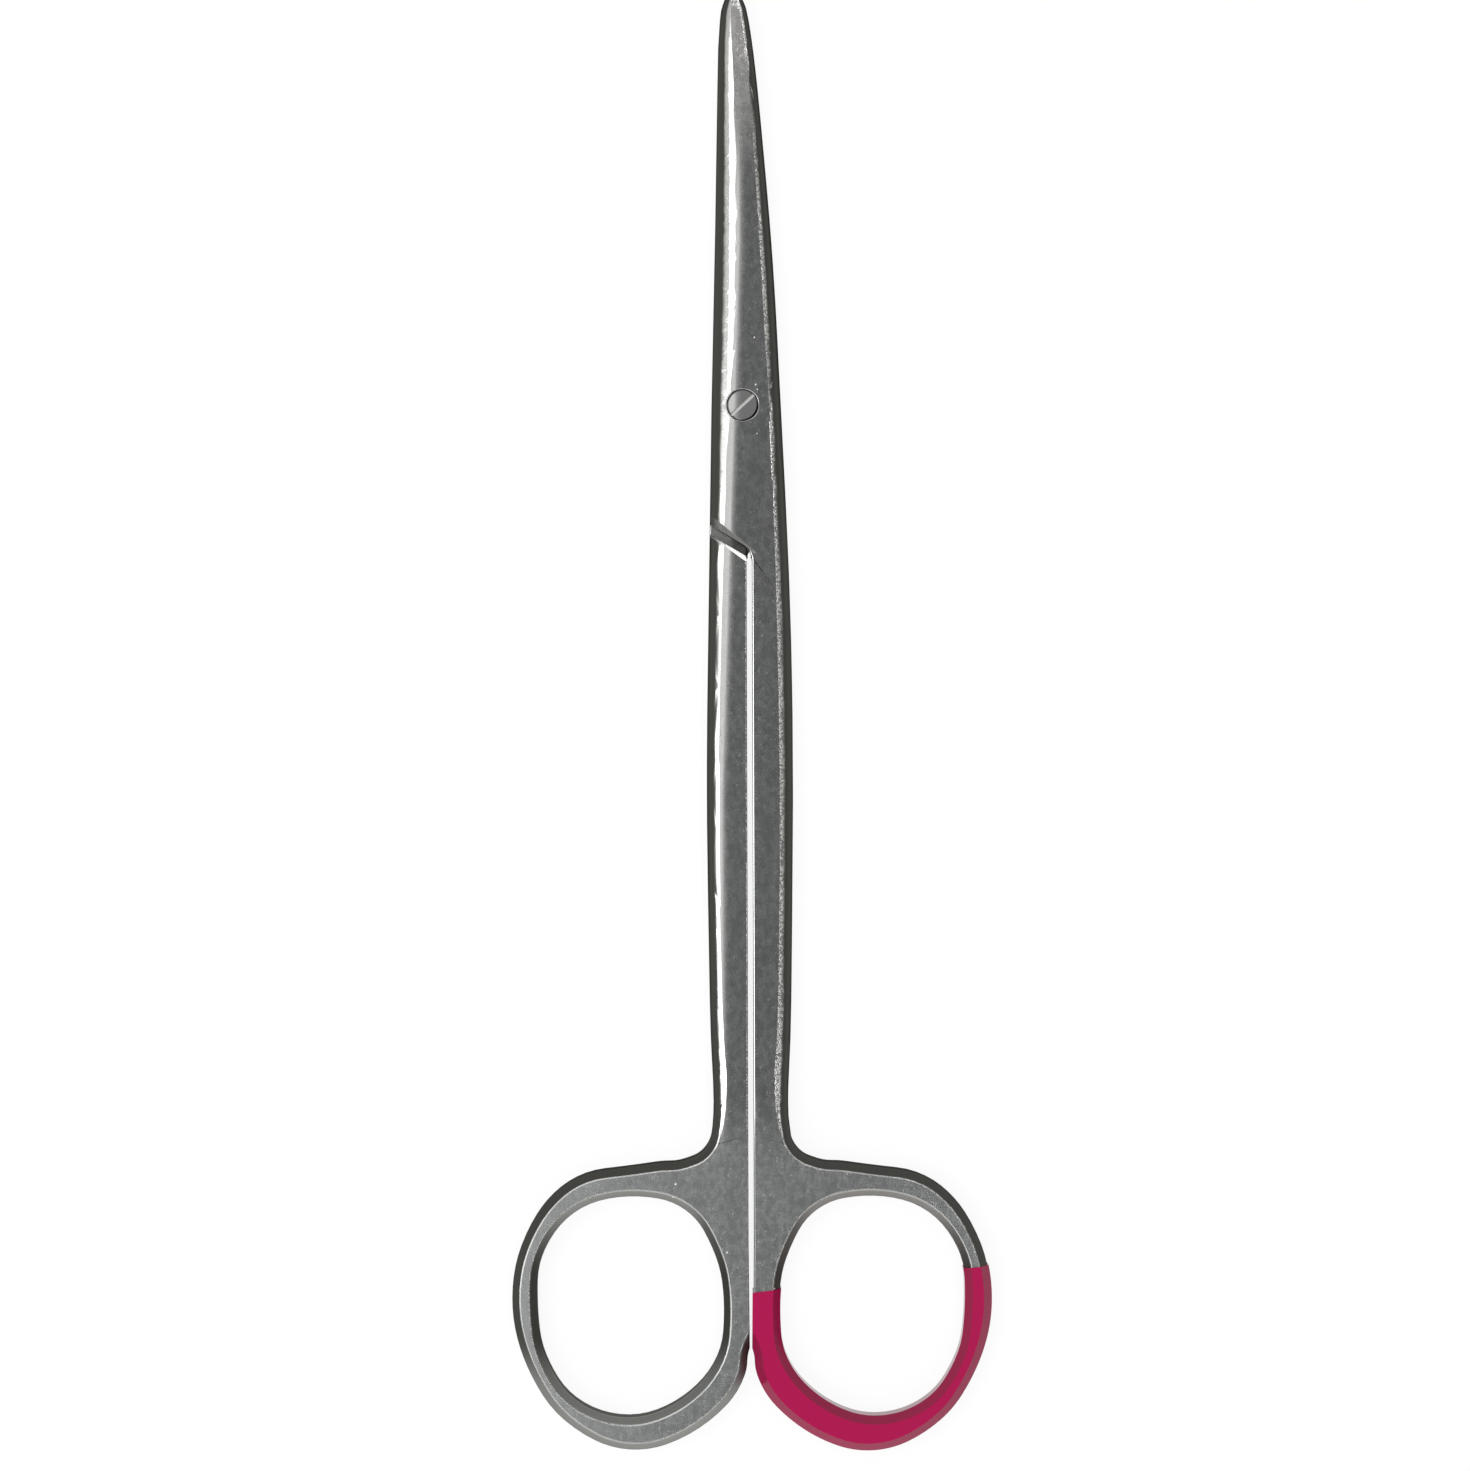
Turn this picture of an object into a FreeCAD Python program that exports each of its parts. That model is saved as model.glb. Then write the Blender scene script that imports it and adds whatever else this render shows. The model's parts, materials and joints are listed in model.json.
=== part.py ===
"""Dissecting scissors: two forged arms, the joint screw and the coat on one finger ring.

Millimetres. The scissors lie flat on z = 0 with the tips towards +Y and the coated ring at +X.
The origin is under the middle of the closed pair. Both arms are cut from one forged form, so that
their flanks run on from shank to blade, and each takes its half of the thickness at the lap joint.
"""
import FreeCAD, Part
import math
import os
import Sketcher
from FreeCAD import Placement, Rotation, Vector

os.makedirs("parts", exist_ok=True)
doc = FreeCAD.newDocument("dissecting_scissors")

# Driving sizes
sheet = doc.addObject("Spreadsheet::Sheet", "Sizes")
sheet_row = 0


def size(alias, value, note=""):
    """Write one named size, with its note beside it."""
    global sheet_row
    sheet_row += 1
    sheet.set(f"A{sheet_row}", alias)
    sheet.set(f"B{sheet_row}", str(value))
    sheet.set(f"C{sheet_row}", note)
    sheet.setAlias(f"B{sheet_row}", alias)


size("total_length", 180.0, "ring end to blade tip")
size("screw_offset", -0.78, "screw beside the middle line of the shanks")
size("arm_thick", 4.2, "both halves of the lap joint together")
size("shank_gap", 0.68, "slit between the closed shanks")
size("flank_roundness", 0.95, "flank radius over the flank's chord")

# The forged pair's section at stations along its length, measured from the screw:
# station, left and right edge, left and right flank width, half thickness as a share of the arm's
# thickness, half height of the edge
stations = {
    "root": (-91.0, -5.15, 5.15, 1.15, 1.15, 0.450, 0.75),
    "flare": (-88.3, -4.70, 4.70, 1.35, 1.40, 0.474, 0.73),
    "neck": (-84.5, -4.62, 4.62, 1.60, 1.70, 0.492, 0.70),
    "slim": (-79.0, -4.87, 4.87, 1.75, 1.90, 0.506, 0.67),
    "waist": (-70.0, -5.08, 5.08, 1.75, 1.95, 0.514, 0.65),
    "grip": (-48.0, -5.32, 5.32, 1.80, 2.10, 0.520, 0.60),
    "lap": (-22.0, -4.97, 4.95, 2.10, 2.10, 0.520, 0.55),
    "joint": (0.0, -4.60, 3.96, 2.75, 1.60, 0.512, 0.45),
    "belly": (19.0, -4.14, 2.94, 2.95, 1.50, 0.460, 0.35),
    "fore": (32.0, -3.89, 1.87, 2.45, 1.20, 0.403, 0.29),
    "turn": (42.0, -3.69, 0.90, 1.82, 0.92, 0.358, 0.25),
    "ogive": (47.4, -3.43, 0.17, 1.37, 0.76, 0.330, 0.22),
    "close": (50.2, -2.78, -0.66, 0.80, 0.53, 0.296, 0.20),
    "tip": (51.4, -1.80, -1.66, 0.05, 0.05, 0.215, 0.18),
}
for station, (along, left, right, flank_left, flank_right, half_share, edge) in stations.items():
    size(f"{station}_along", along, "from the screw")
    size(f"{station}_left", left)
    size(f"{station}_right", right)
    size(f"{station}_flank_left", flank_left)
    size(f"{station}_flank_right", flank_right)
    size(f"{station}_half", f"={half_share} * arm_thick", "half thickness")
    size(f"{station}_edge", edge, "half height of the edge")

# The lap joint: the lip of one half stands clear of the shoulder of the other
size("lip_angle", 31.0, "lip and shoulder across the arm, in degrees")
size("lip_start", -17.82, "where the lip crosses the slit's edge, from the screw")
size("lip_corner", 2.3, "radius from the lip into the slit")
size("lap_gap", 0.68, "notch between lip and shoulder")
size("shoulder_corner", 0.4, "radius from the shoulder into the slit")
size("lap_reach", 12.0, "cut across the arm, wider than the joint")

# The joint screw
size("head_diameter", 3.74)
size("head_thick", 0.8)
size("head_clearance", 0.04, "radial, head in its seat")
size("head_lift", 0.03, "under the head")
size("bearing_diameter", 2.6)
size("bearing_clearance", 0.03, "radial, upper arm on the screw")
size("thread_diameter", 2.2)
size("thread_clearance", 0.01)
size("slot_width", 0.42)
size("slot_depth", 0.38)
size("slot_angle", 42.0)
size("head_bevel", 0.15)
size("head_drop", 0.1, "height of the bevel round the head")
size("end_bevel", 0.2)
size("end_clearance", 0.02, "screw end above the underside")

# The finger rings, as reaches from the ring's middle in steps of 30 degrees from straight outwards
size("ring_side", 15.1, "ring middle from the middle line")
size("ring_thick", 3.88)
size("rim_flank", 0.95, "flank round the outside")
size("opening_flank", 0.85, "flank round the finger opening")
size("ring_reach", 17.5, "ring middle to the lowest point of the rim")
opening_reaches = (11.3, 12.4, 13.5, 13.7, 13.9, 12.4, 11.7, 12.5, 13.0, 13.5, 13.1, 11.9)
rim_reaches = {60: 16.95, 30: 15.3, 0: 14.35, -30: 14.5, -60: 16.0, -90: 17.5, -120: 17.2, -150: 16.5}
for step, reach in enumerate(opening_reaches):
    size(f"opening_at_{30 * step}", reach)
for angle, reach in rim_reaches.items():
    size(f"rim_at_{angle % 360}", reach)
size("contact_along", -116.1, "where the closed rings meet, from the screw")
size("contact_gap", 0.45, "left between the closed rings for the coat")
size("web_along", -101.5, "where the slit starts to close")
size("run_out_reach", 1.2, "rim past the middle line, before the slit is cut")
size("run_out_rise", 2.6)

# The bend from the neck into the ring: reach from the middle line, distance from the screw
crotch = (
    (3.95, -83.0),
    (4.45, -86.0),
    (4.74, -88.8),
    (5.10, -90.5),
    (6.10, -91.9),
    (8.20, -92.9),
    (11.80, -93.3),
)
for number, (reach, along) in enumerate(crotch, 1):
    size(f"crotch_{number}_reach", reach)
    size(f"crotch_{number}_along", along)

# The coat on the right ring, dipped at a slight slant
size("coat_thick", 0.15)
size("coat_line", -107.5, "dip line at the ring's middle, from the screw")
size("coat_slant", 6.3, "dip line's rise towards the outside, in degrees")
doc.recompute()


def value(expression):
    """Number that an expression of the sheet's sizes gives."""
    result = sheet.evalExpression(expression)
    return float(getattr(result, "Value", result))


middle = "(arm_thick / 2)"
screw_y = "(total_length / 2 - tip_along)"
mid_z = value(middle)
pivot_y = value(screw_y)
half_gap = value("shank_gap / 2")


def bound(expression):
    """The same expression as another object's property reads it."""
    words = expression
    for alias in sorted(aliases, key=len, reverse=True):
        words = words.replace(alias, "\0" + str(aliases.index(alias)) + "\0")
    for index, alias in enumerate(aliases):
        words = words.replace("\0" + str(index) + "\0", "Sizes." + alias)
    return words


aliases = [sheet.get(f"A{row}") for row in range(1, sheet_row + 1)]


def plane(body, role):
    """Origin plane of a body."""
    return next(item for item in body.Origin.OriginFeatures if item.Role == role)


def new_sketch(body, name, role, offset="0"):
    """Sketch on an origin plane, moved along the plane's normal by an expression."""
    sketch = body.newObject("Sketcher::SketchObject", name)
    sketch.AttachmentSupport = [(plane(body, role), "")]
    sketch.MapMode = "FlatFace"
    sketch.AttachmentOffset = Placement(Vector(0, 0, value(offset)), Rotation())
    sketch.setExpression("AttachmentOffset.Base.z", bound(offset))
    return sketch


def draw(sketch, corners, radii=None):
    """Closed outline through corners given as expressions, each bound to the sheet.

    An edge with a radius bulges out of the outline, or into it where the radius has a minus sign.
    """
    places = [Vector(value(across), value(along), 0) for across, along in corners]
    count = len(places)
    radii = radii or [None] * count
    turns = sum(places[index - 1].x * places[index].y - places[index].x * places[index - 1].y for index in range(count))
    firsts = []
    for index, (start, radius) in enumerate(zip(places, radii)):
        end = places[(index + 1) % count]
        firsts.append(1)
        if radius is None:
            sketch.addGeometry(Part.LineSegment(start, end))
            continue
        reach = abs(value(radius))
        hollow = radius.startswith("-")
        if (turns > 0) == hollow:
            start, end = end, start
            firsts[index] = 2
        chord = end - start
        inwards = Vector(-chord.y, chord.x, 0).normalize()
        centre = (start + end) * 0.5 + inwards * math.sqrt(reach**2 - chord.Length**2 / 4)
        first = math.atan2(start.y - centre.y, start.x - centre.x)
        last = math.atan2(end.y - centre.y, end.x - centre.x)
        sketch.addGeometry(Part.ArcOfCircle(Part.Circle(centre, Vector(0, 0, 1), reach), first, last))
    for index in range(count):
        following = (index + 1) % count
        sketch.addConstraint(Sketcher.Constraint("Coincident", index, 3 - firsts[index], following, firsts[following]))
    for index, (corner, place) in enumerate(zip(corners, places)):
        for kind, number, expression in (("DistanceX", place.x, corner[0]), ("DistanceY", place.y, corner[1])):
            made = sketch.addConstraint(Sketcher.Constraint(kind, -1, 1, index, firsts[index], number))
            sketch.setExpression(f"Constraints[{made}]", bound(expression))
        if radii[index] is not None:
            radius = radii[index].lstrip("-")
            made = sketch.addConstraint(Sketcher.Constraint("Radius", index, value(radius)))
            sketch.setExpression(f"Constraints[{made}]", bound(radius))
    return sketch


def section(body, station):
    """Section of the forged pair at one station: flat faces, rounded flanks, upright edges."""
    sketch = new_sketch(body, f"section_{station}", "XZ_Plane", f"-({screw_y} + {station}_along)")
    left, right = f"{station}_left", f"{station}_right"
    inner_left = f"{left} + {station}_flank_left"
    inner_right = f"{right} - {station}_flank_right"
    low, high = f"{middle} - {station}_half", f"{middle} + {station}_half"
    edge_low, edge_high = f"{middle} - {station}_edge", f"{middle} + {station}_edge"
    drop = f"pow({station}_half - {station}_edge; 2)"
    round_left = f"flank_roundness * sqrt(pow({station}_flank_left; 2) + {drop})"
    round_right = f"flank_roundness * sqrt(pow({station}_flank_right; 2) + {drop})"
    corners = [
        (inner_left, low),
        (inner_right, low),
        (right, edge_low),
        (right, edge_high),
        (inner_right, high),
        (inner_left, high),
        (left, edge_high),
        (left, edge_low),
    ]
    return draw(sketch, corners, [None, round_right, None, round_right, None, round_left, None, round_left])


def along(distance):
    """Distance from the screw as a place along Y."""
    return value(f"{screw_y} + {distance}")


def ring_place(angle, reach, side):
    """Point at an angle and reach from the middle of a ring."""
    turn = math.radians(angle)
    across = value("ring_side") + reach * math.cos(turn)
    return Vector(side * across, ring_middle() + reach * math.sin(turn), 0)


def ring_middle():
    """Y of the middle of the rings: the rim's lowest point is the end of the total length."""
    return value("ring_reach - total_length / 2")


def circle_direction(before, place, after):
    """Direction at the middle one of three places on the circle through them."""
    come, leave = place - before, after - place
    return (come * (leave.Length / come.Length) + leave * (come.Length / leave.Length)).normalize()


def tangent_arc(start, direction, end, grow):
    """Arc that leaves the start in a direction and reaches the end, moved to its left by grow."""
    left = Vector(-direction.y, direction.x, 0)
    chord = end - start
    lean = left.dot(chord)
    if abs(lean) < 1e-6 * chord.Length:
        return Part.LineSegment(start + left * grow, end + left * grow)
    centre = start + left * (chord.Length**2 / (2 * lean))
    turn = 1 if lean > 0 else -1
    from_centre = [place - centre for place in (start, end)]
    radius = from_centre[0].Length - turn * grow
    first, last = [math.atan2(reach.y, reach.x) for reach in from_centre[::turn]]
    return Part.ArcOfCircle(Part.Circle(centre, Vector(0, 0, 1), radius), first, last)


def smooth_arcs(places, closed, grow):
    """Chain of arcs through the places, each tangent to the next, moved to its left by grow."""
    count = len(places)
    if closed:
        directions = [
            circle_direction(places[index - 1], places[index], places[(index + 1) % count]) for index in range(count)
        ]
        places = places + places[:1]
        directions = directions + directions[:1]
    else:
        directions = [circle_direction(*places[index - 1 : index + 2]) for index in range(1, count - 1)]
        for end, other, following in ((0, 1, 0), (count - 1, count - 2, -1)):
            chord = (places[end] - places[other]).normalize()
            mirrored = chord * (2 * chord.dot(directions[following])) - directions[following]
            directions.insert(0 if end == 0 else len(directions), mirrored)
    chain = []
    for index in range(len(places) - 1):
        start, end = places[index], places[index + 1]
        leave, arrive = directions[index], directions[index + 1]
        chord = end - start
        spread = 2 * (1 - leave.dot(arrive))
        reach = chord.dot(leave + arrive)
        if spread < 1e-9:
            step = chord.Length**2 / (2 * reach)
        else:
            step = (math.sqrt(reach**2 + spread * chord.Length**2) - reach) / spread
        join = (start + leave * step + end - arrive * step) * 0.5
        chain.append(tangent_arc(start, leave, join, grow))
        back = tangent_arc(end, arrive * -1, join, -grow)
        chain.append(back)
    return chain


def opening_chain(side, grow):
    """Edge of a finger opening, grown into the opening."""
    places = [ring_place(30 * step, value(f"opening_at_{30 * step}"), side) for step in range(12)]
    return smooth_arcs(places, True, side * grow)


def rim_chain(side, grow):
    """Outer edge of a ring from the neck round to where the closed rings meet, grown outwards."""
    places = []
    for number in range(1, len(crotch) + 1):
        across = side * value(f"crotch_{number}_reach")
        places.append(Vector(across, along(f"crotch_{number}_along"), 0))
    places += [ring_place(angle, value(f"rim_at_{angle % 360}"), side) for angle in rim_reaches]
    places.append(Vector(side * value("contact_gap / 2"), along("contact_along"), 0))
    places.append(Vector(-side * value("run_out_reach"), along("contact_along + run_out_rise"), 0))
    return smooth_arcs(places, False, side * grow)


def chain_end(curve, place):
    """The end of a curve that lies nearest a place."""
    ends = (curve.value(curve.FirstParameter), curve.value(curve.LastParameter))
    return min(ends, key=lambda end: end.distanceToPoint(place))


def flank(body, base, name, chain, width):
    """Flank cut along both level edges of a chain."""
    guide = Part.Compound([curve.toShape() for curve in chain])
    names = []
    for number, edge in enumerate(base.Shape.Edges, 1):
        if edge.BoundBox.ZLength > 0.01:
            continue
        middle_point = edge.valueAt((edge.FirstParameter + edge.LastParameter) / 2)
        foot = Part.Vertex(middle_point.x, middle_point.y, 0)
        if guide.distToShape(foot)[0] < 0.001:
            names.append(f"Edge{number}")
    cut = body.newObject("PartDesign::Chamfer", name)
    cut.Base = (base, names)
    cut.Size = value(width)
    cut.setExpression("Size", bound(width))
    base.Visibility = False
    doc.recompute()
    return cut


def ring_plate(body, side, grow="0"):
    """Flat ring with its web up to the neck and flanks round its edges, grown by a skin's thickness."""
    sketch = new_sketch(body, "ring_outline", "XY_Plane", f"{middle} - ring_thick / 2 - ({grow})")
    rim = rim_chain(side, value(grow))
    opening = opening_chain(side, value(grow))
    start = chain_end(rim[0], Vector(side * value("crotch_1_reach"), along("crotch_1_along"), 0))
    end = chain_end(rim[-1], Vector(-side * value("run_out_reach"), along("contact_along + run_out_rise"), 0))
    top = Vector(end.x, start.y, 0)
    for curve in rim + opening:
        sketch.addGeometry(curve)
    for first, last in ((end, top), (top, start)):
        sketch.addGeometry(Part.LineSegment(first, last))
    pad = body.newObject("PartDesign::Pad", "ring_blank")
    pad.Profile = sketch
    pad.Length = value(f"ring_thick + 2 * ({grow})")
    pad.setExpression("Length", bound(f"ring_thick + 2 * ({grow})"))
    doc.recompute()
    inner = flank(body, pad, "opening_flanks", opening, f"opening_flank + ({grow}) * (2 - sqrt(2))")
    flank(body, inner, "rim_flanks", rim, f"rim_flank + ({grow}) * (2 - sqrt(2))")
    far = f"-{side} * lap_reach"
    meeting = f"{side} * (contact_gap / 2 - ({grow}))"
    inner_edge = f"{side} * (shank_gap / 2 - ({grow}))"
    below = f"{screw_y} + contact_along - lap_reach"
    above = f"{screw_y} + crotch_1_along + lap_reach"
    beyond_slit = [
        (far, below),
        (meeting, below),
        (meeting, f"{screw_y} + contact_along"),
        (inner_edge, f"{screw_y} + web_along"),
        (inner_edge, above),
        (far, above),
    ]
    outline = draw(new_sketch(body, "beyond_slit", "XY_Plane", "2 * arm_thick"), beyond_slit)
    return pocket(body, "slit_edge", outline, "3 * arm_thick", False)


def pocket(body, name, sketch, depth, reverse):
    """Pocket whose cut is checked by the volume that it takes away."""
    before = body.Shape.Volume
    cut = body.newObject("PartDesign::Pocket", name)
    cut.Profile = sketch
    cut.Type = "Length"
    cut.Length = value(depth)
    cut.setExpression("Length", bound(depth))
    cut.Reversed = reverse
    doc.recompute()
    if not body.Shape.Volume < before - 0.01:
        raise RuntimeError(f"{name} cuts nothing")
    return cut


def lap_layers(body, side, front):
    """Cut the forged pair down to one arm: its own shank, and its own half of the lap joint.

    The layer on the blade's side ends at the lip, the other layer ends at the shoulder.
    """
    slope = "tan(lip_angle * 1deg)"
    inner = f"{side} * shank_gap / 2"
    far = f"{side} * lap_reach"
    foot = f"{screw_y} + root_along - lap_reach"
    top = "total_length"
    lip = f"{screw_y} + lip_start"
    shoulder = f"{lip} - lap_gap / cos(lip_angle * 1deg)"
    lip_run = "lip_corner / tan(45deg + lip_angle * 0.5deg)"
    shoulder_run = "shoulder_corner / tan(45deg + lip_angle * 0.5deg)"
    lip_layer = [
        (f"-({far})", foot),
        (inner, foot),
        (inner, f"{lip} - {lip_run}"),
        (f"{inner} - {side} * {lip_run} * cos(lip_angle * 1deg)", f"{lip} + {lip_run} * sin(lip_angle * 1deg)"),
        (f"-({far})", f"{lip} + (lap_reach + shank_gap / 2) * {slope}"),
    ]
    shoulder_layer = [
        (f"-({far})", foot),
        (inner, foot),
        (inner, f"{shoulder} - {shoulder_run}"),
        (
            f"{inner} + {side} * {shoulder_run} * cos(lip_angle * 1deg)",
            f"{shoulder} + {shoulder_run} * sin(lip_angle * 1deg)",
        ),
        (far, f"{shoulder} + (lap_reach - shank_gap / 2) * {slope}"),
        (far, top),
        (f"-({far})", top),
    ]
    lip_radii = [None, None, "lip_corner", None, None]
    shoulder_radii = [None, None, "-shoulder_corner", None, None, None, None]
    layers = [(lip_layer, lip_radii), (shoulder_layer, shoulder_radii)]
    if not front:
        layers.reverse()
    upper = draw(new_sketch(body, "upper_layer", "XY_Plane", middle), *layers[0])
    pocket(body, "upper_layer_cut", upper, "arm_thick", True)
    lower = draw(new_sketch(body, "lower_layer", "XY_Plane", middle), *layers[1])
    pocket(body, "lower_layer_cut", lower, "arm_thick", False)


def ground_flats(body):
    """Grind both faces of the shanks and the lap joint flat, to the arm's thickness."""
    wide = "ring_side"
    face = [
        (f"-{wide}", "-total_length / 2"),
        (wide, "-total_length / 2"),
        (wide, "total_length / 2 + 1"),
        (f"-{wide}", "total_length / 2 + 1"),
    ]
    pocket(body, "upper_flat", draw(new_sketch(body, "upper_face", "XY_Plane", "arm_thick"), face), "arm_thick", True)
    pocket(body, "lower_flat", draw(new_sketch(body, "lower_face", "XY_Plane", "0"), face), "arm_thick", False)


def bore(body, name, diameter, floor):
    """Round hole on the screw's axis, from clear above the arm down to a floor."""
    sketch = new_sketch(body, f"{name}_circle", "XY_Plane", "2 * arm_thick")
    centre = Vector(value("screw_offset"), pivot_y, 0)
    sketch.addGeometry(Part.Circle(centre, Vector(0, 0, 1), value(diameter) / 2))
    for kind, number, expression in (
        ("DistanceX", centre.x, "screw_offset"),
        ("DistanceY", centre.y, screw_y),
    ):
        made = sketch.addConstraint(Sketcher.Constraint(kind, -1, 1, 0, 3, number))
        sketch.setExpression(f"Constraints[{made}]", bound(expression))
    made = sketch.addConstraint(Sketcher.Constraint("Diameter", 0, value(diameter)))
    sketch.setExpression(f"Constraints[{made}]", bound(diameter))
    return pocket(body, name, sketch, f"2 * arm_thick - ({floor})", False)


def forged_arm(name, side, front):
    """One arm: ring, shank, half lap and blade."""
    body = doc.addObject("PartDesign::Body", name)
    body.Label = name
    ring_plate(body, side)
    loft = body.newObject("PartDesign::AdditiveLoft", "forged_form")
    sections = [section(body, station) for station in stations]
    body.removeObject(loft)
    body.addObject(loft)
    loft.Profile = sections[0]
    loft.Sections = sections[1:]
    loft.Ruled = False
    doc.recompute()
    ground_flats(body)
    lap_layers(body, side, front)
    return body


upper_arm = forged_arm("upper_arm", 1, True)
bore(upper_arm, "screw_bore", "bearing_diameter + 2 * bearing_clearance", "0")
bore(upper_arm, "head_seat", "head_diameter + 2 * head_clearance", "arm_thick - head_thick - head_lift")

lower_arm = forged_arm("lower_arm", -1, False)
bore(lower_arm, "thread_bore", "thread_diameter + 2 * thread_clearance", "-arm_thick")


def joint_screw():
    """Slotted screw: flush head, bearing through the upper arm, threaded end in the lower arm."""
    body = doc.addObject("PartDesign::Body", "pivot_screw")
    body.Label = "pivot_screw"
    sketch = new_sketch(body, "half_section", "XZ_Plane", f"-{screw_y}")
    sketch.AttachmentOffset.Base.x = value("screw_offset")
    sketch.setExpression("AttachmentOffset.Base.x", bound("screw_offset"))
    head_low = "arm_thick - head_thick"
    corners = [
        ("0", "end_clearance"),
        ("thread_diameter / 2 - end_bevel", "end_clearance"),
        ("thread_diameter / 2", "end_clearance + end_bevel"),
        ("thread_diameter / 2", middle),
        ("bearing_diameter / 2", middle),
        ("bearing_diameter / 2", head_low),
        ("head_diameter / 2", head_low),
        ("head_diameter / 2", "arm_thick - head_drop"),
        ("head_diameter / 2 - head_bevel", "arm_thick"),
        ("0", "arm_thick"),
    ]
    draw(sketch, corners)
    turned = body.newObject("PartDesign::Revolution", "turned_screw")
    turned.Profile = sketch
    turned.ReferenceAxis = (sketch, ["V_Axis"])
    turned.Angle = 360
    doc.recompute()
    slot_sketch = new_sketch(body, "slot_outline", "XY_Plane", "arm_thick")
    turn = math.radians(value("slot_angle"))
    run = Vector(math.cos(turn), math.sin(turn), 0) * value("head_diameter")
    width = Vector(-math.sin(turn), math.cos(turn), 0) * value("slot_width / 2")
    centre = Vector(value("screw_offset"), pivot_y, 0)
    outline = [centre - run - width, centre + run - width, centre + run + width, centre - run + width]
    for index, start in enumerate(outline):
        slot_sketch.addGeometry(Part.LineSegment(start, outline[(index + 1) % 4]))
    pocket(body, "driver_slot", slot_sketch, "slot_depth", False)
    return body


def ring_coat():
    """Skin on the lower part of the right ring, ending at the slanted dip line."""
    body = doc.addObject("PartDesign::Body", "dipped_ring")
    ring_plate(body, 1, "coat_thick")
    dip_line = f"{screw_y} + coat_line"
    reach = "2 * ring_side"
    rise = f"({reach}) * tan(coat_slant * 1deg)"
    clean = [
        (f"ring_side - {reach}", f"{dip_line} - {rise}"),
        (f"ring_side + {reach}", f"{dip_line} + {rise}"),
        (f"ring_side + {reach}", "total_length"),
        (f"ring_side - {reach}", "total_length"),
    ]
    outline = draw(new_sketch(body, "undipped", "XY_Plane", "2 * arm_thick"), clean)
    pocket(body, "dip_line", outline, "3 * arm_thick", False)
    skin = doc.addObject("Part::Cut", "ring_coating")
    skin.Label = "ring_coating"
    skin.Base = body
    skin.Tool = upper_arm
    doc.recompute()
    return skin


pivot_screw = joint_screw()
ring_coating = ring_coat()
doc.recompute()

for item in doc.Objects:
    if "Invalid" in item.State or "Error" in item.State:
        raise RuntimeError(f"{item.Label} failed: {item.State}")
for item in (upper_arm, lower_arm, pivot_screw, ring_coating):
    shape = item.Shape
    if shape.isNull() or not shape.isValid():
        raise RuntimeError(f"{item.Label} has no valid shape")
    box = shape.BoundBox
    print(item.Label, len(shape.Solids), round(shape.Volume, 2), box)
for item in (upper_arm, lower_arm, pivot_screw, ring_coating):
    item.Shape.exportStep(f"parts/{item.Label}.step")
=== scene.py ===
import bpy
import json
import math
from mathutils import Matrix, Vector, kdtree


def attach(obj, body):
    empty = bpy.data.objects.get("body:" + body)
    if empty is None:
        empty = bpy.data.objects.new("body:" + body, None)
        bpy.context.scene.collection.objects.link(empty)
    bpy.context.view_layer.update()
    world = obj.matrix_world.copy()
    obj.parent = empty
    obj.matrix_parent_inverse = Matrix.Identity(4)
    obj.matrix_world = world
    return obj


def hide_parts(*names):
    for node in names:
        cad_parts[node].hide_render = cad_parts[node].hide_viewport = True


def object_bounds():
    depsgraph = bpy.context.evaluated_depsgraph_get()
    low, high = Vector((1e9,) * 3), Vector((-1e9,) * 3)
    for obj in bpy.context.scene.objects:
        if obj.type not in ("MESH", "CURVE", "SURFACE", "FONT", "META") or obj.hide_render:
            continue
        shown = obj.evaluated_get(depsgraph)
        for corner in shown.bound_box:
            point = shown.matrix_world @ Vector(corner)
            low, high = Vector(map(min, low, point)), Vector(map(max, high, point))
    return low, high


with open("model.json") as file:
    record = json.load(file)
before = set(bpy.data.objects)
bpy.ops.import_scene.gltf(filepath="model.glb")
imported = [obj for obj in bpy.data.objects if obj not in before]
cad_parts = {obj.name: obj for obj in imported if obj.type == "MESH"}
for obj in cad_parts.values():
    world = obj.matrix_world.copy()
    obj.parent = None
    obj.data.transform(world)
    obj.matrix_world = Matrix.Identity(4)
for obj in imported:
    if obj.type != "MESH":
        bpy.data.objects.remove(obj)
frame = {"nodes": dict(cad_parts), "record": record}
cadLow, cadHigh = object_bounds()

# Everything is in metres, in the frame of the scissors: tips at +Y, coated ring at +X, lying on z = 0


def addNode(tree, kind, **settings):
    node = tree.nodes.new(kind)
    for key, value in settings.items():
        setattr(node, key, value)
    return node


def feed(tree, item, target):
    if isinstance(item, (int, float, tuple)):
        target.default_value = item
    else:
        tree.links.new(item, target)


def mathNode(tree, operation, first, second=None, third=None, clamp=False):
    node = addNode(tree, "ShaderNodeMath", operation=operation, use_clamp=clamp)
    for slot, item in enumerate((first, second, third)):
        if item is not None:
            feed(tree, item, node.inputs[slot])
    return node.outputs[0]


def product(tree, first, *others):
    for other in others:
        first = mathNode(tree, "MULTIPLY", first, other)
    return first


def mapped(tree, kind, value, low, high, start, end):
    node = addNode(tree, "ShaderNodeMapRange", interpolation_type=kind)
    tree.links.new(value, node.inputs["Value"])
    for name, number in (("From Min", low), ("From Max", high), ("To Min", start), ("To Max", end)):
        node.inputs[name].default_value = number
    return node.outputs[0]


def ramp(tree, value, low, high, start=0.0, end=1.0):
    return mapped(tree, "SMOOTHSTEP", value, low, high, start, end)


def linear(tree, value, low, high, start, end):
    return mapped(tree, "LINEAR", value, low, high, start, end)


# the mix node's two inputs and its output, by what it mixes
mixSockets = {"FLOAT": (2, 3, 0), "VECTOR": (4, 5, 1), "RGBA": (6, 7, 2)}


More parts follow.
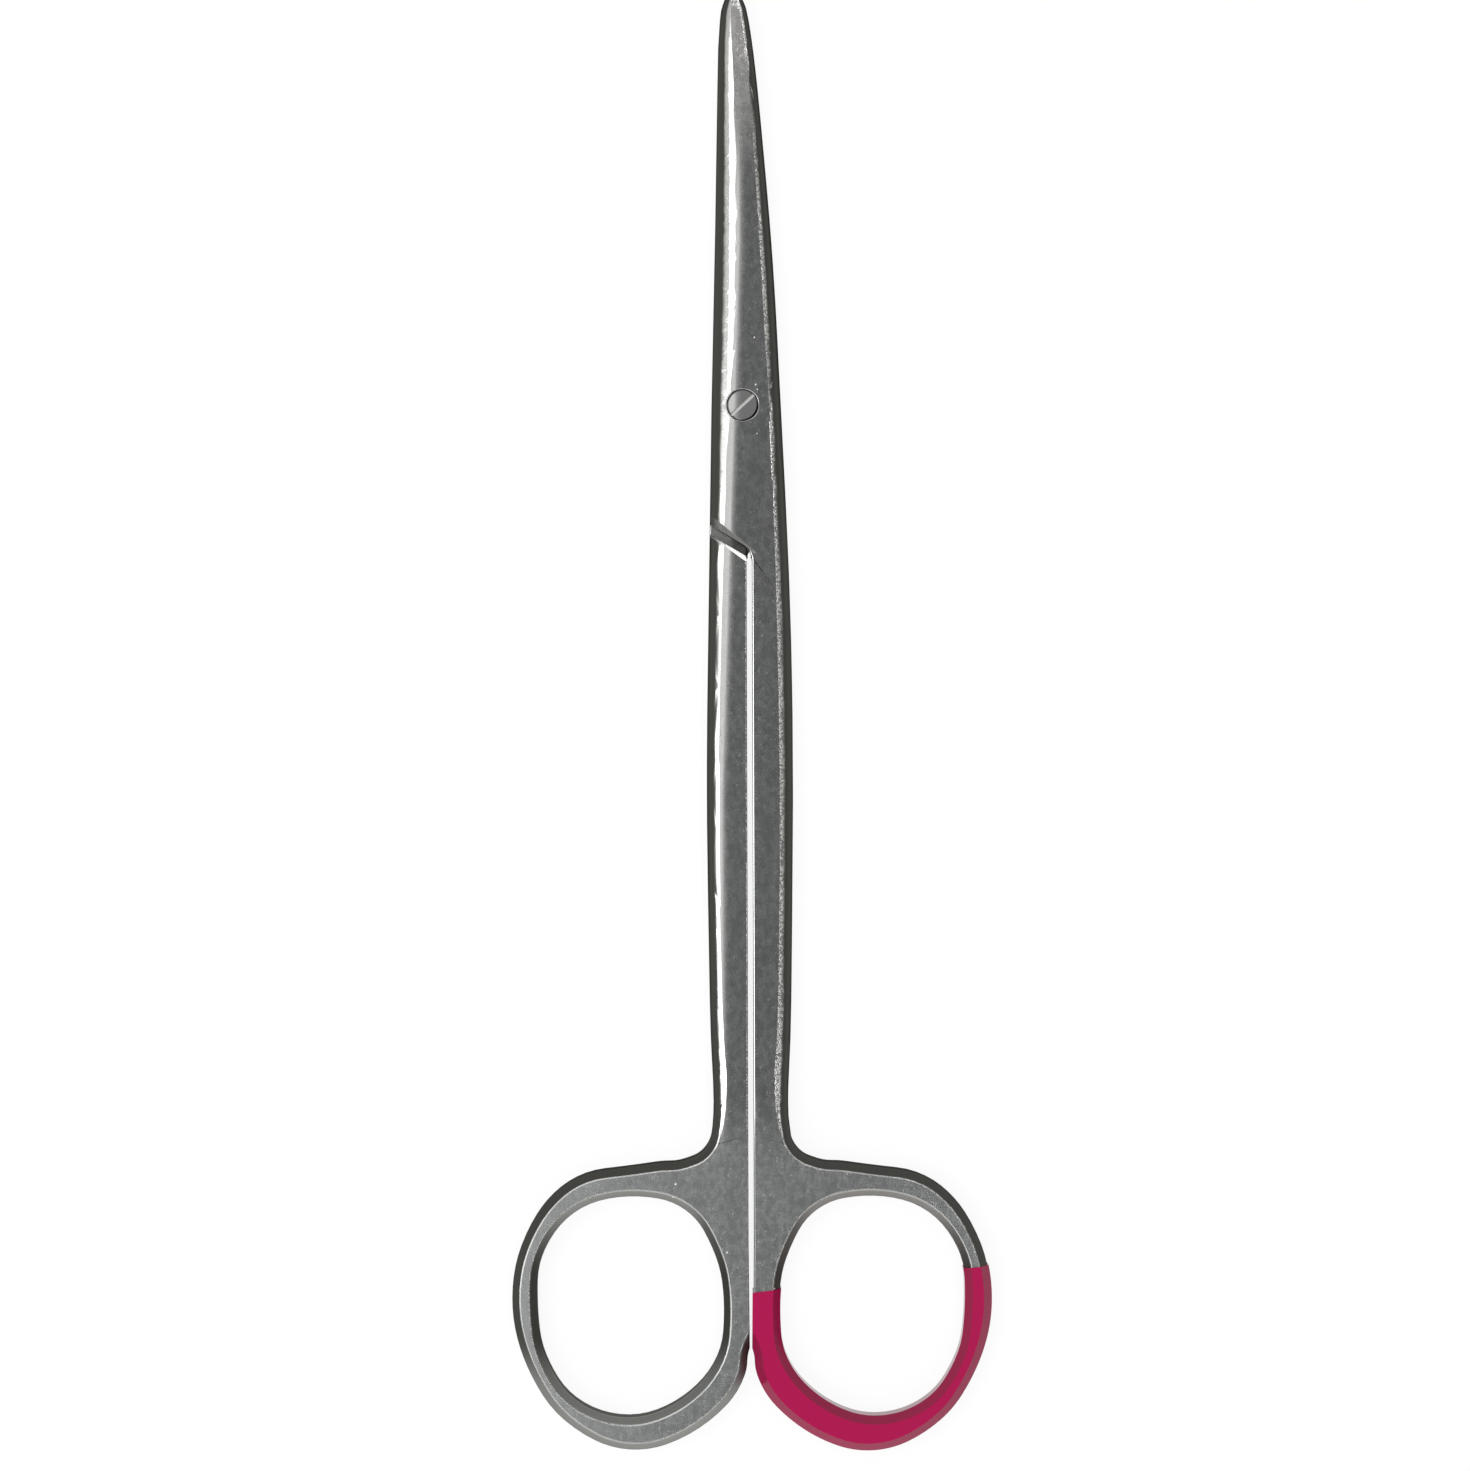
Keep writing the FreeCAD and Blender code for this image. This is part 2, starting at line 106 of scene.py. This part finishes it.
def mixNode(tree, kind, factor, first, second):
    node = addNode(tree, "ShaderNodeMix", data_type=kind)
    firstSlot, secondSlot, result = mixSockets[kind]
    for slot, item in ((0, factor), (firstSlot, first), (secondSlot, second)):
        feed(tree, item, node.inputs[slot])
    return node.outputs[result]


def mixColour(tree, factor, first, second):
    return mixNode(tree, "RGBA", factor, first, second)


def mixValue(tree, factor, first, second):
    return mixNode(tree, "FLOAT", factor, first, second)


def mixVector(tree, factor, first, second):
    return mixNode(tree, "VECTOR", factor, first, second)


def axes(tree, coordinate):
    coords = addNode(tree, "ShaderNodeTexCoord")
    split = addNode(tree, "ShaderNodeSeparateXYZ")
    tree.links.new(coords.outputs[coordinate], split.inputs[0])
    return [split.outputs[index] for index in range(3)]


def texture(tree, scale, detail, rough):
    coords = addNode(tree, "ShaderNodeTexCoord")
    mapping = addNode(tree, "ShaderNodeMapping")
    mapping.inputs["Scale"].default_value = scale
    tree.links.new(coords.outputs["Object"], mapping.inputs["Vector"])
    node = addNode(tree, "ShaderNodeTexNoise")
    node.inputs["Scale"].default_value = 1.0
    node.inputs["Detail"].default_value = detail
    node.inputs["Roughness"].default_value = rough
    tree.links.new(mapping.outputs[0], node.inputs["Vector"])
    return node.outputs[0]


def newGroup(name):
    return bpy.data.node_groups.new(name, "ShaderNodeTree")


# a group puts out values from 0 to 1 and, under the name Normal, a normal
def putOut(group, results):
    for label in results:
        kind = "NodeSocketVector" if label == "Normal" else "NodeSocketFloat"
        group.interface.new_socket(name=label, in_out="OUTPUT", socket_type=kind)
    end = group.nodes.new("NodeGroupOutput")
    for label, result in results.items():
        group.links.new(result, end.inputs[label])
    return group


# how far the surface leans from level, as the upward part of its normal: flat faces and flanks, with the
# worn crest between them, where the steel carries a painted highlight; and whether it leans to the right or
# towards the hand
leanSet = {
    "flat": (0.993, 0.9995),
    "flank": (0.93, 0.83),
    "right": (-0.02, 0.02),
    "handward": (-0.1, -0.6),
}


def makeLeanGroup():
    group = newGroup("leanMasks")
    sideways, lengthways, upward = axes(group, "Normal")
    level = mathNode(group, "ABSOLUTE", upward)
    flat = ramp(group, level, *leanSet["flat"])
    flank = ramp(group, level, *leanSet["flank"])
    crest = mathNode(group, "SUBTRACT", 1.0, mathNode(group, "ADD", flat, flank, clamp=True), clamp=True)
    return putOut(group, {
        "Crest": crest,
        "Flank": flank,
        "Right": ramp(group, sideways, *leanSet["right"]),
        "Handward": ramp(group, lengthways, *leanSet["handward"]),
    })


# masks along the scissors: the rings with their webs, the far foot of the rings, and the blade's tip
alongSet = {
    "Ring": (-0.045, -0.056),
    "Foot": (-0.0755, -0.0825),
    "Tip": (0.064, 0.090),
}


def makeAlongGroup():
    group = newGroup("alongMasks")
    along = axes(group, "Object")[1]
    return putOut(group, {label: ramp(group, along, *reach) for label, reach in alongSet.items()})


# grain of the satin grind, its stray cross scratches, its pits and the beads of a worn crest, which also
# break up the crest's painted highlight: texture cells per metre, detail and roughness
grainSet = {
    "grain": ((2400, 220, 2400), 3.0, 0.65),
    "cross": ((260, 5600, 260), 3.0, 0.6),
    "pits": ((2100, 2100, 2100), 1.0, 0.5),
    "pitEdge": (0.68, 0.74),
    "beads": ((3600, 3600, 3600), 1.0, 0.5),
    "beadEdge": (0.44, 0.60),
}


def makeGrainGroup():
    group = newGroup("groundGrain")
    return putOut(group, {
        "Grain": texture(group, *grainSet["grain"]),
        "Cross": texture(group, *grainSet["cross"]),
        "Pits": ramp(group, texture(group, *grainSet["pits"]), *grainSet["pitEdge"]),
        "Beads": ramp(group, texture(group, *grainSet["beads"]), *grainSet["beadEdge"]),
    })


# slow unevenness of a surface ground by hand, its cloudy stains and its finest grain, given the same way
waveSet = {
    "Wave": ((160, 45, 160), 2.0, 0.5),
    "Mottle": ((420, 230, 420), 4.0, 0.6),
    "Fine": ((1500, 900, 1500), 3.0, 0.6),
}


def makeWaveGroup():
    group = newGroup("handWaves")
    return putOut(group, {label: texture(group, *cells) for label, cells in waveSet.items()})


# a few nicks by the screw, on the shanks and on the webs, painted bright as glints: across, along and reach
# of each, and the share of the reach that is fully bright
nickSet = {
    "places": [
        (0.00085, 0.04110, 0.00013),
        (0.00105, 0.04050, 0.00011),
        (0.00070, 0.04690, 0.00012),
        (-0.00270, 0.04520, 0.00010),
        (0.00100, 0.03510, 0.00009),
        (-0.00930, -0.05720, 0.00016),
        (-0.00960, -0.05880, 0.00013),
        (-0.00300, -0.06560, 0.00014),
        (0.00280, -0.07010, 0.00015),
    ],
    "core": 0.4,
}


def makeNickGroup():
    group = newGroup("brightNicks")
    x, y, _ = axes(group, "Object")
    total = None
    for across, along, reach in nickSet["places"]:
        sideways = mathNode(group, "SUBTRACT", x, across)
        lengthways = mathNode(group, "SUBTRACT", y, along)
        square = mathNode(group, "MULTIPLY_ADD", sideways, sideways, product(group, lengthways, lengthways))
        spot = ramp(group, mathNode(group, "SQRT", square), reach, reach * nickSet["core"])
        total = spot if total is None else mathNode(group, "MAXIMUM", total, spot)
    return putOut(group, {"Nick": total})


# the ground bevels on both sides of the notch at the joint, at an angle in degrees: the lip's on the upper
# arm, narrower towards the slit, and the shoulder's on the lower arm, with a painted highlight that is
# brighter towards the slit. Widths run from one place across to another; the tilts are in degrees
pivotPlace = frame["record"]["behaviour"]["joints"][0]["pos_m"][:2] + [cadHigh.z]
notchSet = {
    "angle": 31.0,
    "behindPivot": 0.01782,
    "gap": 0.00068,
    "lipWidth": (-0.0046, 0.0012, 0.0013, 0.00010),
    "lipEnd": (0.0009, 0.0004),
    "lipStart": (-0.0050, -0.0032),
    "shoulderWidth": (-0.0046, 0.0, 0.00040, 0.00080),
    "shoulderEnd": (0.0001, -0.0001),
    "shoulderBright": (-0.0048, -0.0012),
    "soft": 0.00006,
    "lipTilt": 27.0,
    "shoulderTilt": 24.0,
    "level": (0.95, 0.99),
    "upward": (0.3, 0.5),
    "topHalf": (0.0024, 0.0030),
    # the notch's sunk floor, found by height, which is painted dark as painted shade
    "floor": (0.0036, 0.0030),
    "floorFoot": (0.0010, 0.0014),
    "seam": (0.00225, 0.00215),
}
# the level faces aren't quite level: over this width beside the left crest they fall away by a few degrees,
# but not on the ring or at the tip; the same band is painted paler too, as a painted highlight
crownSet = {
    "along": (-0.0094, 0.0576),
    "crest": (-0.00352, -0.00119),
    "width": 0.0011,
    "fall": 2.0,
    "lean": 4.2,
    "ringEnd": (-0.056, -0.044),
    "tipEnd": (0.082, 0.062),
}


def tilted(group, degrees, towards):
    lean = math.radians(degrees)
    flat = addNode(group, "ShaderNodeCombineXYZ")
    flat.inputs[0].default_value = math.cos(towards) * math.sin(lean)
    flat.inputs[1].default_value = math.sin(towards) * math.sin(lean)
    flat.inputs[2].default_value = math.cos(lean)
    turned = addNode(
        group, "ShaderNodeVectorTransform", vector_type="NORMAL", convert_from="OBJECT", convert_to="WORLD"
    )
    group.links.new(flat.outputs[0], turned.inputs[0])
    return turned.outputs[0]


def strip(tree, depth, width):
    outer = ramp(tree, mathNode(tree, "SUBTRACT", width, depth), 0.0, notchSet["soft"])
    return product(tree, ramp(tree, depth, -notchSet["soft"], 0.0), outer)


def crownMask(group, across, along, level):
    crestLine = linear(group, along, *crownSet["along"], *crownSet["crest"])
    inward = mathNode(group, "SUBTRACT", across, crestLine)
    slope = linear(group, inward, 0.0, crownSet["width"], 1.0, 0.0)
    ends = [ramp(group, along, *crownSet[end]) for end in ("ringEnd", "tipEnd")]
    return product(group, mathNode(group, "POWER", slope, crownSet["fall"]), level, *ends)


def pivotDistance(group):
    coords = addNode(group, "ShaderNodeTexCoord")
    distance = addNode(group, "ShaderNodeVectorMath", operation="DISTANCE")
    group.links.new(coords.outputs["Object"], distance.inputs[0])
    distance.inputs[1].default_value = pivotPlace
    return distance.outputs["Value"]


def makeNotchGroup():
    group = newGroup("notchBevels")
    turn = math.radians(notchSet["angle"])
    notchAlong = pivotPlace[1] - notchSet["behindPivot"]
    across, along, height = axes(group, "Object")
    facing = axes(group, "Normal")[2]
    level = ramp(group, facing, *notchSet["level"])
    top = product(group, ramp(group, facing, *notchSet["upward"]), ramp(group, height, *notchSet["topHalf"]))
    upLine = mathNode(group, "MULTIPLY_ADD", along, math.cos(turn), -notchAlong * math.cos(turn))
    depth = mathNode(group, "MULTIPLY_ADD", across, math.sin(turn), upLine)
    lip = strip(group, depth, linear(group, across, *notchSet["lipWidth"]))
    lipEnds = [ramp(group, across, *notchSet[end]) for end in ("lipEnd", "lipStart")]
    lip = product(group, lip, *lipEnds, top)
    below = mathNode(group, "SUBTRACT", -notchSet["gap"], depth)
    shoulder = strip(group, below, linear(group, across, *notchSet["shoulderWidth"]))
    shoulder = product(group, shoulder, ramp(group, across, *notchSet["shoulderEnd"]), top)
    sunk = [ramp(group, height, *notchSet[end]) for end in ("floor", "floorFoot")]
    crown = crownMask(group, across, along, level)
    normal = addNode(group, "ShaderNodeNewGeometry").outputs["Normal"]
    normal = mixVector(group, crown, normal, tilted(group, crownSet["lean"], math.pi))
    normal = mixVector(group, lip, normal, tilted(group, notchSet["lipTilt"], -math.pi / 2 - turn))
    normal = mixVector(group, shoulder, normal, tilted(group, notchSet["shoulderTilt"], math.pi / 2 - turn))
    return putOut(group, {
        "Lip": lip,
        "Shoulder": shoulder,
        "Bright": ramp(group, across, *notchSet["shoulderBright"]),
        "Floor": product(group, level, *sunk),
        "Seam": ramp(group, pivotDistance(group), *notchSet["seam"]),
        "Crown": crown,
        "Normal": normal,
    })


shared = {
    "lean": makeLeanGroup(),
    "notch": makeNotchGroup(),
    "along": makeAlongGroup(),
    "grain": makeGrainGroup(),
    "wave": makeWaveGroup(),
    "nick": makeNickGroup(),
}


def groupNode(tree, name):
    node = tree.nodes.new("ShaderNodeGroup")
    node.node_tree = shared[name]
    return node.outputs


def bump(tree, height, strength, distance, previous=None):
    node = addNode(tree, "ShaderNodeBump")
    feed(tree, strength, node.inputs["Strength"])
    node.inputs["Distance"].default_value = distance
    tree.links.new(height, node.inputs["Height"])
    if previous is not None:
        tree.links.new(previous, node.inputs["Normal"])
    return node.outputs[0]


def newMaterial(name):
    material = bpy.data.materials.new(name)
    material.use_nodes = True
    tree = material.node_tree
    return material, tree, tree.nodes["Principled BSDF"]


def newMetal(name):
    material, tree, shader = newMaterial(name)
    shader.inputs["Metallic"].default_value = 1.0
    shader.inputs["Specular Tint"].default_value = steelSet["edgeTint"]
    return material, tree, shader


# a rounded copy keeps the solid's own shading: level faces stay level, and a corner that the rounding
# left where it was takes the normal of the solid's nearest corner that faces the same way
forgedSet = {"level": 0.9999, "same": 0.000004, "facing": 0.7}


def keepForgedNormals(arm, source):
    solid = source.data
    corners = kdtree.KDTree(len(solid.loops))
    for loop in solid.loops:
        corners.insert(solid.vertices[loop.vertex_index].co, loop.index)
    corners.balance()
    forged = [corner.vector.copy() for corner in solid.corner_normals]
    normals = [corner.vector.copy() for corner in arm.data.corner_normals]
    for face in arm.data.polygons:
        for index in face.loop_indices:
            if abs(face.normal.z) > forgedSet["level"]:
                normals[index] = face.normal.copy()
                continue
            place = arm.data.vertices[arm.data.loops[index].vertex_index].co
            near = [forged[found] for co, found, gap in corners.find_range(place, forgedSet["same"])]
            best = max(near, key=face.normal.dot, default=None)
            if best is not None and best.dot(face.normal) > forgedSet["facing"]:
                normals[index] = best
    arm.data.normals_split_custom_set(normals)


# wear on the arms: edges sharper than this many degrees are rounded by this width, in this many steps
wearSet = {"merge": 0.000015, "sharp": 26.0, "width": 0.00016, "steps": 3, "smooth": 34.0}


def wearArm(name):
    source = frame["nodes"][name]
    arm = source.copy()
    arm.data = source.data.copy()
    arm.name = name + "Worn"
    arm.parent = None
    arm.matrix_world = source.matrix_world.copy()
    bpy.context.scene.collection.objects.link(arm)
    bpy.ops.object.select_all(action="DESELECT")
    arm.select_set(True)
    bpy.context.view_layer.objects.active = arm
    bpy.ops.object.mode_set(mode="EDIT")
    bpy.ops.mesh.select_all(action="SELECT")
    bpy.ops.mesh.remove_doubles(threshold=wearSet["merge"])
    bpy.ops.mesh.customdata_custom_splitnormals_clear()
    bpy.ops.object.mode_set(mode="OBJECT")
    bpy.ops.object.modifier_add(type="BEVEL")
    rounding = arm.modifiers[-1]
    rounding.limit_method = "ANGLE"
    rounding.angle_limit = math.radians(wearSet["sharp"])
    rounding.width = wearSet["width"]
    rounding.segments = wearSet["steps"]
    rounding.use_clamp_overlap = False
    bpy.ops.object.modifier_apply(modifier=rounding.name)
    bpy.ops.object.shade_smooth_by_angle(angle=math.radians(wearSet["smooth"]))
    bpy.ops.object.modifier_add(type="WEIGHTED_NORMAL")
    arm.modifiers[-1].keep_sharp = True
    bpy.ops.object.modifier_apply(modifier=arm.modifiers[-1].name)
    keepForgedNormals(arm, source)
    arm.data.materials.clear()
    arm.select_set(False)
    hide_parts(name)
    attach(arm, name)
    print(name, "worn:", len(arm.data.polygons), "faces")
    return arm


# colours of the ground steel and of its wear, with painted light and shade among them: painted shade on the
# flanks and the notch floor, painted highlights and reflections on the crests, the tip, the shoulder and the
# nicks; a bump is its strength and its height, and the fine one has a strength for the blades and one for
# the rings
steelSet = {
    "bladeDark": (0.148, 0.152, 0.149, 1.0),
    "bladePale": (0.161, 0.164, 0.163, 1.0),
    # the tip's paler colour is a painted reflection
    "tipPale": (0.480, 0.468, 0.456, 1.0),
    "ringDark": (0.235, 0.240, 0.237, 1.0),
    "ringPale": (0.295, 0.302, 0.299, 1.0),
    "cloud": (0.36, 0.66),
    "streak": (0.35, 0.70),
    # the flanks' dark colour is painted shade, and their paler colour, on flanks facing the hand and at the
    # rings' far foot, is a painted reflection
    "flank": (0.084, 0.083, 0.077, 1.0),
    "flankPale": (0.260, 0.260, 0.250, 1.0),
    # the crests' bright colour is a painted highlight over their real worn polish
    "crest": (0.80, 0.80, 0.78, 1.0),
    "beadGap": 0.35,
    "ringCrest": 0.18,
    "seamCrest": 0.2,
    # a painted highlight: the band beside the left crest and the screw head's left are painted paler
    "crownWear": 0.3,
    "lip": (0.155, 0.155, 0.150, 1.0),
    # the shoulder's dim end; towards the slit it turns to the crest colour as a painted highlight
    "shoulderFar": (0.14, 0.14, 0.135, 1.0),
    # painted shade on the notch's sunk floor
    "sunk": (0.10, 0.10, 0.095, 1.0),
    "edgeTint": (0.15, 0.15, 0.145, 1.0),
    "fineSpread": (0.35, 0.65),
    "roughFlat": (0.24, 0.28),
    "roughFlank": 0.38,
    "roughCrest": (0.22, 0.34),
    "roughNick": 0.7,
    "waveBump": (0.5, 0.00003),
    "fineStrength": (0.08, 0.15),
    "fineHeight": 0.00002,
    "grainBump": (0.3, 0.00001),
    "crossBump": (0.2, 0.00001),
    "pitBump": (0.2, 0.00003),
    "beadHeight": 0.00004,
}


def steelColour(tree, lean, along, grain, waves, nicks, notch):
    cloud = ramp(tree, waves["Mottle"], *steelSet["cloud"])
    scratched = product(tree, cloud, ramp(tree, grain["Cross"], *steelSet["streak"]))
    blade = mixColour(tree, cloud, steelSet["bladeDark"], steelSet["bladePale"])
    ring = mixColour(tree, scratched, steelSet["ringDark"], steelSet["ringPale"])
    # the blade painted paler towards the tip, a painted reflection
    blade = mixColour(tree, along["Tip"], blade, steelSet["tipPale"])
    base = mixColour(tree, along["Ring"], blade, ring)
    # flanks painted dark as painted shade, and paler as a painted reflection where they face the hand or at
    # the rings' far foot
    pale = mathNode(tree, "MAXIMUM", lean["Handward"], along["Foot"])
    flank = mixColour(tree, pale, steelSet["flank"], steelSet["flankPale"])
    base = mixColour(tree, lean["Flank"], base, flank)
    # the crests are painted bright, a painted highlight over real worn polish: beaded on the right, dimmer
    # on the rings and by the screw's seam
    beaded = mixValue(tree, grain["Beads"], steelSet["beadGap"], 1.0)
    beaded = mixValue(tree, lean["Right"], 1.0, beaded)
    beaded = mixValue(tree, along["Ring"], beaded, steelSet["ringCrest"])
    beaded = mixValue(tree, notch["Seam"], beaded, steelSet["seamCrest"])
    wearAndHighlight = product(tree, lean["Crest"], beaded)
    # the band beside the left crest painted paler, a painted highlight
    wearAndHighlight = mathNode(tree, "MAXIMUM", wearAndHighlight, product(tree, notch["Crown"], steelSet["crownWear"]))
    # the nicks painted bright in the crest colour, real marks with painted glints
    wearAndHighlight = mathNode(tree, "MAXIMUM", wearAndHighlight, nicks["Nick"])
    base = mixColour(tree, wearAndHighlight, base, steelSet["crest"])
    base = mixColour(tree, notch["Lip"], base, steelSet["lip"])
    # the shoulder painted bright towards the slit, a painted highlight
    shoulder = mixColour(tree, notch["Bright"], steelSet["shoulderFar"], steelSet["crest"])
    base = mixColour(tree, notch["Shoulder"], base, shoulder)
    # the notch's sunk floor painted dark, painted shade
    return mixColour(tree, notch["Floor"], base, steelSet["sunk"])


def makeSteel(name):
    material, tree, shader = newMetal(name)
    groups = [groupNode(tree, label) for label in ("lean", "along", "grain", "wave", "nick", "notch")]
    lean, along, grain, waves, nicks, notch = groups
    tree.links.new(steelColour(tree, *groups), shader.inputs["Base Color"])
    rough = ramp(tree, waves["Fine"], *steelSet["fineSpread"], *steelSet["roughFlat"])
    rough = mixValue(tree, lean["Flank"], rough, steelSet["roughFlank"])
    rough = mixValue(tree, lean["Crest"], rough, mixValue(tree, along["Ring"], *steelSet["roughCrest"]))
    rough = mixValue(tree, nicks["Nick"], rough, steelSet["roughNick"])
    tree.links.new(rough, shader.inputs["Roughness"])
    fineStrength = mixValue(tree, along["Ring"], *steelSet["fineStrength"])
    beadStrength = product(tree, lean["Crest"], lean["Right"])
    normal = bump(tree, waves["Wave"], *steelSet["waveBump"], notch["Normal"])
    normal = bump(tree, waves["Fine"], fineStrength, steelSet["fineHeight"], normal)
    normal = bump(tree, grain["Grain"], *steelSet["grainBump"], normal)
    normal = bump(tree, grain["Cross"], *steelSet["crossBump"], normal)
    normal = bump(tree, grain["Pits"], *steelSet["pitBump"], normal)
    normal = bump(tree, grain["Beads"], beadStrength, steelSet["beadHeight"], normal)
    tree.links.new(normal, shader.inputs["Normal"])
    return material


# the screw's slot is painted pale, a painted highlight against its own shade, and its seam on the lower
# right is painted dark as painted shadow
screwSet = {
    "head": (0.170, 0.173, 0.170, 1.0),
    "headRough": 0.3,
    "level": (0.95, 0.99),
    # the slot's pale colour is a painted highlight that lifts the slot out of its own shade
    "slot": (0.62, 0.62, 0.60, 1.0),
    "slotRough": 0.6,
    "slotHeight": (0.00412, 0.00400),
    "rim": (0.20, 0.20, 0.195, 1.0),
    # painted shadow in the seam on the head's lower right
    "grime": (0.03, 0.03, 0.028, 1.0),
    "grimeSide": (0.3, 0.7),
    "fineBump": (0.2, 0.00002),
    "grainBump": (0.45, 0.00001),
}


def makeScrewSteel(name):
    material, tree, shader = newMetal(name)
    waves, grain, notch = [groupNode(tree, label) for label in ("wave", "grain", "notch")]
    sideways, lengthways, upward = axes(tree, "Normal")
    level = ramp(tree, upward, *screwSet["level"])
    # the slot floor, painted pale as a painted highlight
    lowered = ramp(tree, axes(tree, "Object")[2], *screwSet["slotHeight"])
    slot = product(tree, lowered, level)
    # the side of the head painted dark towards the lower right, a painted shadow in the seam
    grime = ramp(tree, mathNode(tree, "SUBTRACT", sideways, lengthways), *screwSet["grimeSide"])
    side = mixColour(tree, grime, screwSet["rim"], screwSet["grime"])
    # the head's left is painted paler in the crest colour, a painted highlight
    headHighlight = product(tree, notch["Crown"], steelSet["crownWear"])
    head = mixColour(tree, headHighlight, screwSet["head"], steelSet["crest"])
    base = mixColour(tree, slot, mixColour(tree, level, side, head), screwSet["slot"])
    tree.links.new(base, shader.inputs["Base Color"])
    rough = mixValue(tree, slot, screwSet["headRough"], screwSet["slotRough"])
    tree.links.new(rough, shader.inputs["Roughness"])
    normal = bump(tree, waves["Fine"], *screwSet["fineBump"], notch["Normal"])
    normal = bump(tree, grain["Grain"], *screwSet["grainBump"], normal)
    tree.links.new(normal, shader.inputs["Normal"])
    return material


coatSet = {
    "pink": (0.355, 0.005, 0.066, 1.0),
    # the coat's walls are painted darker than its top, painted shade
    "wall": (0.17, 0.005, 0.034, 1.0),
    "wallLean": (0.92, 0.55),
    "rough": 0.12,
    "bending": 1.45,      # index of refraction of the plastic
    "bump": (0.3, 0.00003),
}


def makeCoat(name):
    material, tree, shader = newMaterial(name)
    # the walls of the coat painted darker, painted shade
    wall = ramp(tree, mathNode(tree, "ABSOLUTE", axes(tree, "Normal")[2]), *coatSet["wallLean"])
    tree.links.new(mixColour(tree, wall, coatSet["pink"], coatSet["wall"]), shader.inputs["Base Color"])
    shader.inputs["Roughness"].default_value = coatSet["rough"]
    shader.inputs["IOR"].default_value = coatSet["bending"]
    mottle = groupNode(tree, "wave")["Mottle"]
    tree.links.new(bump(tree, mottle, *coatSet["bump"]), shader.inputs["Normal"])
    return material


def paint(piece, material):
    piece.data.materials.clear()
    piece.data.materials.append(material)


cameraSet = {
    "height": 0.45,       # camera over the top faces
    "view": 0.18081,      # width of what the picture shows, at the top faces
    "middle": (-0.00182, -0.00204),
    "roll": -0.174,       # degrees
    "sensor": 36.0,       # millimetres
    "nearest": 0.01,
}


def makeCamera():
    data = bpy.data.cameras.new("camera")
    data.sensor_width = cameraSet["sensor"]
    data.lens = cameraSet["sensor"] * cameraSet["height"] / cameraSet["view"]
    data.clip_start = cameraSet["nearest"]
    camera = bpy.data.objects.new("camera", data)
    bpy.context.scene.collection.objects.link(camera)
    x, y = cameraSet["middle"]
    camera.location = (x, y, cadHigh.z + cameraSet["height"])
    camera.rotation_euler = (0, 0, math.radians(cameraSet["roll"]))
    bpy.context.scene.camera = camera


# two strips run along the scissors, each seen in one row of crests and none in the flat faces, with one
# more for the steeper crest of the left shank; the strip beyond the tips is seen in the notch's shoulder
lampSet = {
    "leftStrip": {"place": (-0.215, 0.0, 0.60), "size": (0.29, 1.1), "power": 2.3},
    "shankStrip": {"place": (-0.66, -0.06, 0.60), "size": (0.60, 0.26), "power": 2.2},
    "rightStrip": {"place": (0.165, 0.0, 0.60), "size": (0.05, 1.1), "power": 1.1},
    "farStrip": {"place": (0.12, 0.62, 0.62), "size": (1.0, 0.20), "power": 1.4},
}


def makeLamp(name, settings):
    data = bpy.data.lights.new(name, "AREA")
    data.shape = "RECTANGLE"
    data.size, data.size_y = settings["size"]
    data.energy = settings["power"]
    lamp = bpy.data.objects.new(name, data)
    bpy.context.scene.collection.objects.link(lamp)
    lamp.location = settings["place"]


floorSet = {
    "side": 16.0,
    "white": (0.97, 0.97, 0.97, 1.0),
    "rough": 0.9,
    "glow": 0.90,         # share of the white that comes without shadow
    "glowStrength": 1.0,
}


def makeFloor():
    bpy.ops.mesh.primitive_plane_add(size=floorSet["side"], location=(0, 0, 0))
    floor = bpy.context.object
    floor.name = "floor"
    material, tree, shader = newMaterial("floorWhite")
    shader.inputs["Base Color"].default_value = floorSet["white"]
    shader.inputs["Roughness"].default_value = floorSet["rough"]
    glow = addNode(tree, "ShaderNodeEmission")
    glow.inputs["Strength"].default_value = floorSet["glowStrength"]
    path = addNode(tree, "ShaderNodeLightPath")
    seen = mathNode(tree, "MAXIMUM", path.outputs["Is Camera Ray"], path.outputs["Is Glossy Ray"])
    seen = mathNode(tree, "MAXIMUM", seen, path.outputs["Is Transmission Ray"])
    mixed = addNode(tree, "ShaderNodeMixShader")
    tree.links.new(product(tree, seen, floorSet["glow"]), mixed.inputs[0])
    tree.links.new(shader.outputs[0], mixed.inputs[1])
    tree.links.new(glow.outputs[0], mixed.inputs[2])
    tree.links.new(mixed.outputs[0], tree.nodes["Material Output"].inputs["Surface"])
    paint(floor, material)


# dark over the scissors, pale all round, brightest behind the finger rings
worldSet = {
    "top": (0.175, 0.180, 0.180, 1.0),
    "side": (0.52, 0.52, 0.51, 1.0),
    "behind": (1.8, 1.8, 1.75, 1.0),
    "lower": (0.88, 0.62),     # sine of the height where the dark patch over the scissors starts and ends
    "handward": (-0.55, -0.9),
}


def makeWorld():
    world = bpy.data.worlds.new("room")
    world.use_nodes = True
    bpy.context.scene.world = world
    tree = world.node_tree
    _, lengthways, upward = axes(tree, "Generated")
    behind = ramp(tree, lengthways, *worldSet["handward"])
    around = mixColour(tree, behind, worldSet["side"], worldSet["behind"])
    colour = mixColour(tree, ramp(tree, upward, *worldSet["lower"]), worldSet["top"], around)
    tree.links.new(colour, tree.nodes["Background"].inputs["Color"])


bpy.ops.object.select_all(action="DESELECT")
makeCamera()
makeFloor()
makeWorld()
for lampName, lampSettings in lampSet.items():
    makeLamp(lampName, lampSettings)
print("camera, floor and lamps are up")

steel = makeSteel("satinSteel")
for name in ("upper_arm", "lower_arm"):
    paint(wearArm(name), steel)
paint(frame["nodes"]["pivot_screw"], makeScrewSteel("screwSteel"))
paint(frame["nodes"]["ring_coating"], makeCoat("pinkCoat"))
print("steel and coat are on")

bpy.context.scene.view_settings.view_transform = "Standard"
